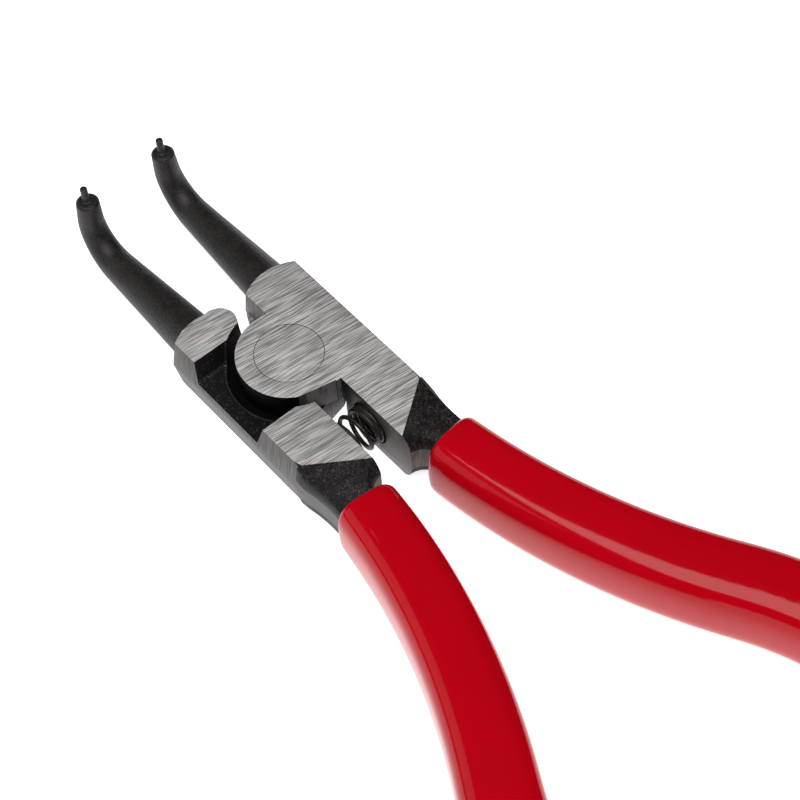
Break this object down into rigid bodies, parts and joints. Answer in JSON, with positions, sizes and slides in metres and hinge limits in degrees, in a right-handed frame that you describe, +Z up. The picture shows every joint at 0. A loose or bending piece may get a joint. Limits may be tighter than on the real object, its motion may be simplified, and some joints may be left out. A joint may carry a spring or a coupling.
{
  "type": "external circlip pliers",
  "caption": "Circlip pliers for external rings: forged levers lapped on a flush rivet, tapered jaws bent up square with fine tip pins, return spring, bowed handles in red grips",
  "frame": {"origin": "on the pivot axis, in the plane of the joint's underside", "axes": "+X runs from the pivot to the handles, +Y to the lever whose lobe is uppermost, +Z up along the pivot, the way the tips point"},
  "size_m": [0.1505, 0.078, 0.0224],
  "materials": {
    "forged_steel": "black-finished forging with ground joint faces",
    "ground_steel": "ground flush with the joint faces",
    "dark_steel": "dark hardened steel",
    "grip_plastic": "smooth glossy red"
  },
  "bodies": {
    "lower_half": {"lower_lever": "forged_steel", "pivot_rivet": "ground_steel", "return_spring": "dark_steel", "lower_tip_pin": "dark_steel", "lower_grip": "grip_plastic"},
    "upper_half": {"upper_lever": "forged_steel", "upper_tip_pin": "dark_steel", "upper_grip": "grip_plastic"}
  },
  "joints": [
    {"name": "pivot", "type": "hinge", "parent": "lower_half", "child": "upper_half", "pos_m": [0, 0, 0.00575], "axis": [0, 0, 1], "range_deg": [-11.5, 14], "stiffness_Nm_per_rad": 0.35, "deforming": ["return_spring"]}
  ]
}
